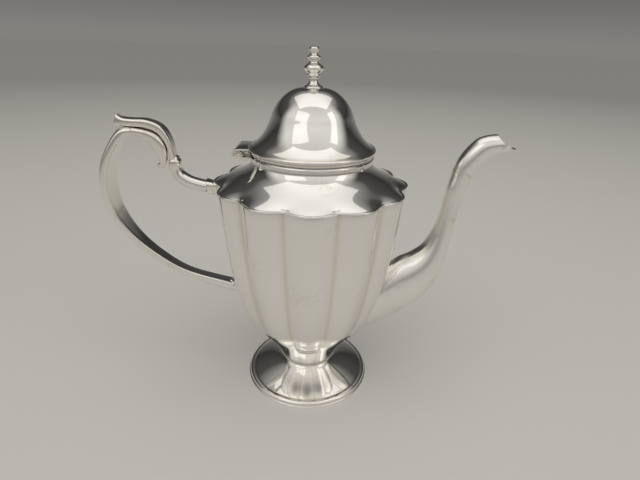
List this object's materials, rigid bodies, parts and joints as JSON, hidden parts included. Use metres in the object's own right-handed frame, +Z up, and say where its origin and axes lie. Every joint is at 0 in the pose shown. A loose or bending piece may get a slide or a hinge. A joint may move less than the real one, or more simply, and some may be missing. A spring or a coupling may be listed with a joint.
{
  "type": "coffee pot",
  "caption": "Silver-plated pedestal coffee pot with a lobed bowl, round neck, hinged domed lid with a turned finial, swan-neck spout and scrolled handle.",
  "frame": {"origin": "centre of the foot, on the table", "axes": "+Z up; +X along the spout; the handle lies along -X"},
  "size_m": [0.2873, 0.137, 0.2541],
  "materials": {
    "foot": "silver plate, polished by hand, with fine scratches and pits",
    "foot_band": "silver plate, polished by hand, with fine scratches and pits",
    "bowl": "silver plate, polished by hand, with fine scratches and pits",
    "shoulder": "silver plate, polished by hand, with fine scratches and pits",
    "neck_bead": "silver plate, polished by hand, with fine scratches and pits",
    "hinge_pin": "silver plate, polished by hand, with fine scratches and pits",
    "hinge_pot_leaf": "silver plate, polished by hand, with fine scratches and pits",
    "spout": "silver plate, polished by hand, with fine scratches and pits",
    "handle_loop": "silver plate, polished by hand, with fine scratches and pits",
    "handle_volute": "silver plate, polished by hand, with fine scratches and pits",
    "thumb_scroll": "silver plate, polished by hand, with fine scratches and pits",
    "handle_arm": "silver plate, polished by hand, with fine scratches and pits",
    "handle_ferrule": "silver plate, polished by hand, with fine scratches and pits",
    "handle_mount": "silver plate, polished by hand, with fine scratches and pits",
    "lid_dome": "silver plate, polished by hand, with fine scratches and pits",
    "lid_rim": "silver plate, polished by hand, with fine scratches and pits",
    "lid_bezel": "silver plate, polished by hand, with fine scratches and pits",
    "finial": "silver plate, polished by hand, with fine scratches and pits",
    "finial_washer": "turned brass, dull with age",
    "finial_nut": "turned brass, dull with age",
    "hinge_lid_leaf": "silver plate, polished by hand, with fine scratches and pits"
  },
  "bodies": {
    "pot": {"foot": "foot", "foot_band": "foot_band", "bowl": "bowl", "shoulder": "shoulder", "neck_bead": "neck_bead", "hinge_pin": "hinge_pin", "hinge_pot_leaf": "hinge_pot_leaf", "spout": "spout", "handle_loop": "handle_loop", "handle_volute": "handle_volute", "thumb_scroll": "thumb_scroll", "handle_arm": "handle_arm", "handle_ferrule": "handle_ferrule", "handle_mount": "handle_mount"},
    "lid": {"lid_dome": "lid_dome", "lid_rim": "lid_rim", "lid_bezel": "lid_bezel", "finial": "finial", "finial_washer": "finial_washer", "finial_nut": "finial_nut", "hinge_lid_leaf": "hinge_lid_leaf"}
  },
  "joints": [
    {"name": "lid_hinge", "type": "hinge", "parent": "pot", "child": "lid", "pos_m": [-0.0489, 0, 0.1858], "axis": [0, -1, 0], "range_deg": [0, 100]}
  ]
}
